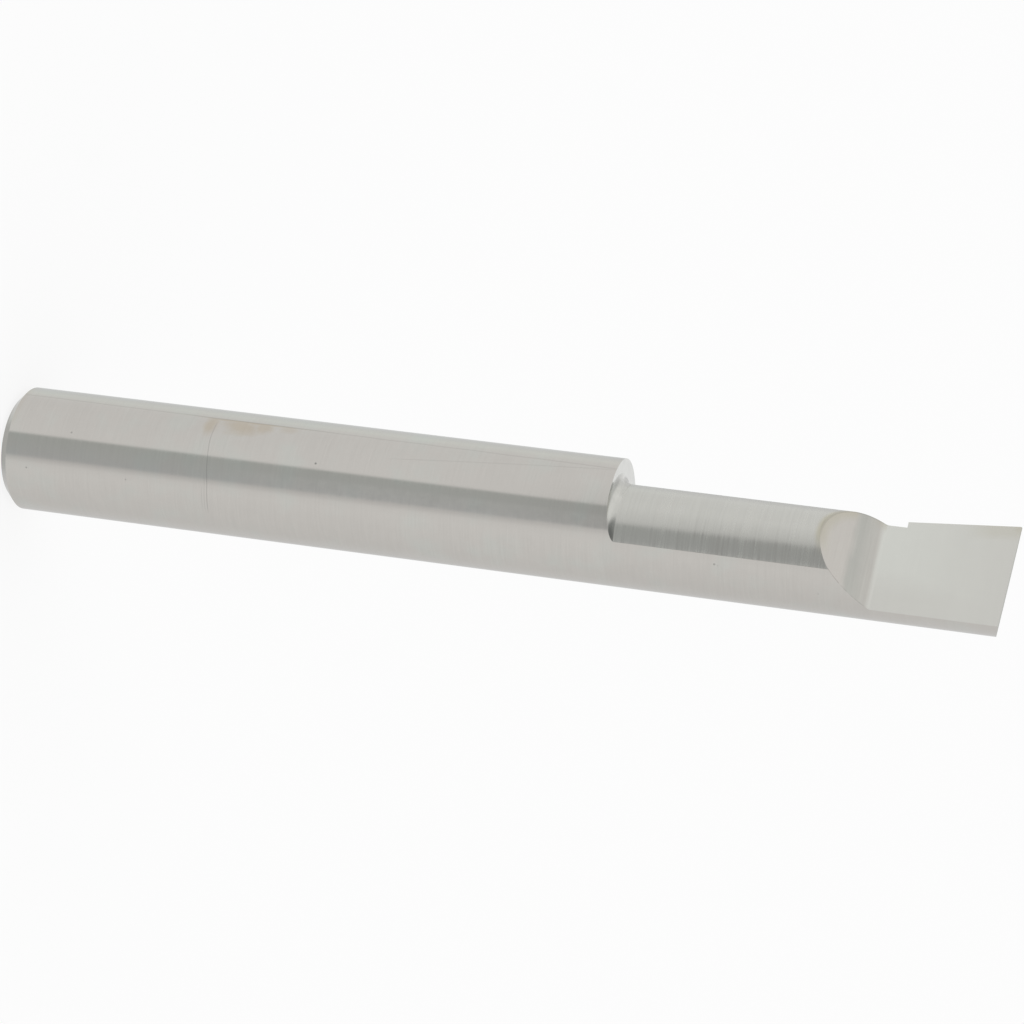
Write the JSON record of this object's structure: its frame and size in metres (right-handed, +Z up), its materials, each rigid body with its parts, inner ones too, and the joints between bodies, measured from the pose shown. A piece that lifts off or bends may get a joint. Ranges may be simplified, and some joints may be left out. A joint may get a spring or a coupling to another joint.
{
  "type": "boring bar",
  "caption": "Solid carbide right-hand boring bar: round shank with a chamfered back end, slimmer off-centre neck, and a half-round head ground flat with a side cutting corner.",
  "frame": {"origin": "centre of the back end face, on the shank axis, with the bar standing on that face", "axes": "+Z up along the shank axis to the cutting end, -Y the rake face's normal, -X towards the cutting corner"},
  "size_m": [0.0064, 0.0064, 0.0514],
  "materials": {
    "carbide": "fine ground cemented carbide, satin, with hairline grinding marks"
  },
  "bodies": {
    "root": {"boring_bar": "carbide"}
  },
  "joints": []
}
